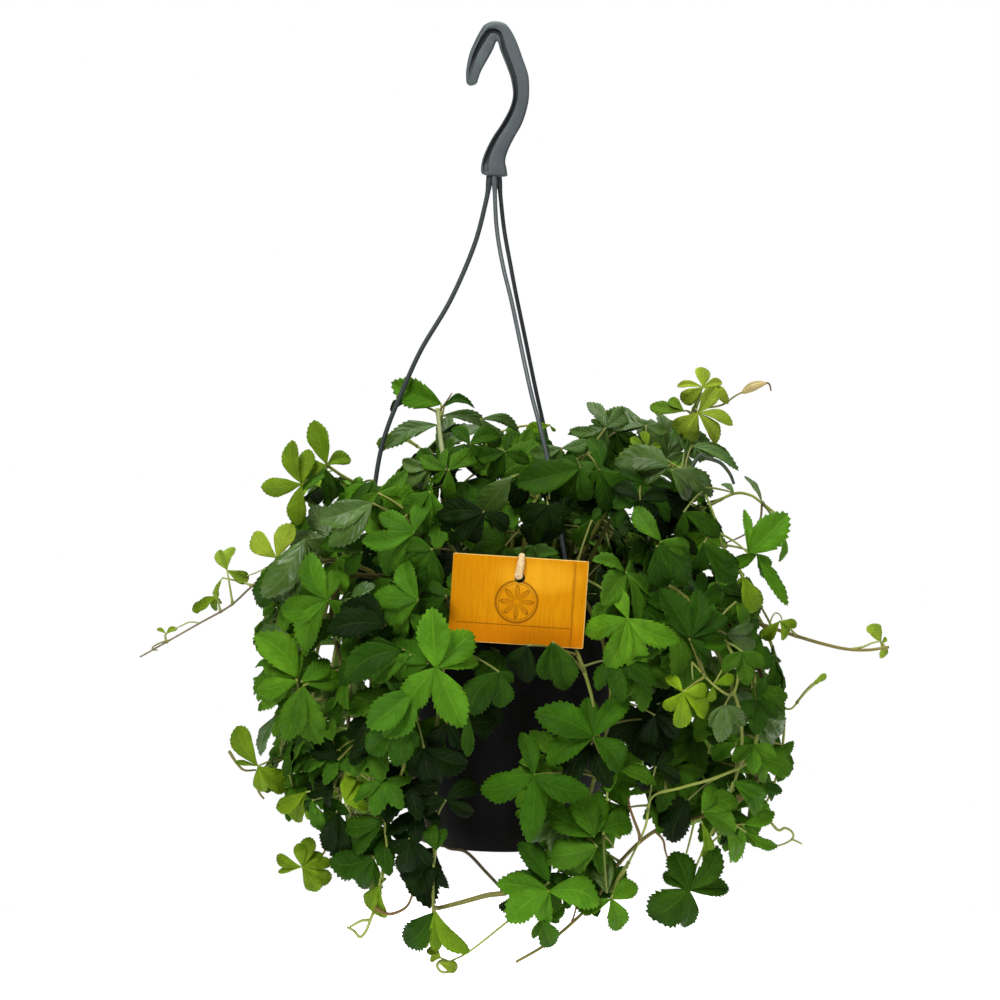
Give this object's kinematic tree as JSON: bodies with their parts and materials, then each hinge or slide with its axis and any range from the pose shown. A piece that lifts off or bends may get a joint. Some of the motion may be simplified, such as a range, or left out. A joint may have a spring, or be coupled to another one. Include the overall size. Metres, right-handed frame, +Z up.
{
  "type": "potted miniature grape ivy",
  "caption": "Trailing grape ivy with small five-fingered leaves in a plastic pot that hangs from its own hook on thin strands, with a wooden label tied on.",
  "frame": {"origin": "seat of the hook: the point inside the top of its bend that rests on a rail, where the whole object hangs", "axes": "+Z up along the line the object hangs on, -Y towards the front (the side with the label), +X to the right seen from the front"},
  "size_m": [0.466, 0.3068, 0.5717],
  "materials": {
    "hook_plastic": "satin",
    "strand_plastic": "satin",
    "pot_plastic": "satin",
    "soil": "rough",
    "label_wood": "satin",
    "cord_fibre": "rough",
    "foliage": "satin"
  },
  "bodies": {
    "root": {"hanger_hook": "hook_plastic", "hanger_strand_left": "strand_plastic", "hanger_strand_front_right": "strand_plastic", "hanger_strand_back_right": "strand_plastic", "pot_shell": "pot_plastic", "soil": "soil", "label_board": "label_wood", "label_cord": "cord_fibre", "shoot_centre_crown": "foliage", "shoot_centre_left": "foliage", "shoot_centre_left_2": "foliage", "shoot_centre_right": "foliage", "shoot_centre_right_2": "foliage", "shoot_front_crown": "foliage", "shoot_front_left_crown": "foliage", "shoot_label_shoot": "foliage", "shoot_left_back": "foliage", "shoot_left_crown": "foliage", "shoot_left_front": "foliage", "shoot_left_lime": "foliage", "shoot_left_mid": "foliage", "shoot_left_outer": "foliage", "shoot_left_vine": "foliage", "shoot_lime_crown": "foliage", "shoot_right_arch": "foliage", "shoot_right_brown": "foliage", "shoot_right_crown": "foliage", "shoot_right_front": "foliage", "shoot_right_hang": "foliage", "shoot_right_low": "foliage", "shoot_right_outer": "foliage", "shoot_right_tip": "foliage", "shoot_right_vine": "foliage", "shoot_top_ridge": "foliage", "shoot_under_pot": "foliage", "shoot_back_01": "foliage", "shoot_back_02": "foliage", "shoot_back_03": "foliage", "shoot_back_04": "foliage", "shoot_back_05": "foliage", "shoot_back_06": "foliage", "shoot_back_07": "foliage", "shoot_back_08": "foliage", "shoot_back_09": "foliage", "shoot_back_10": "foliage", "shoot_back_11": "foliage", "shoot_back_12": "foliage", "shoot_crown_back_left": "foliage", "shoot_crown_back_mid": "foliage", "shoot_crown_back_right": "foliage", "shoot_crown_left": "foliage", "shoot_crown_right": "foliage"}
  },
  "joints": []
}
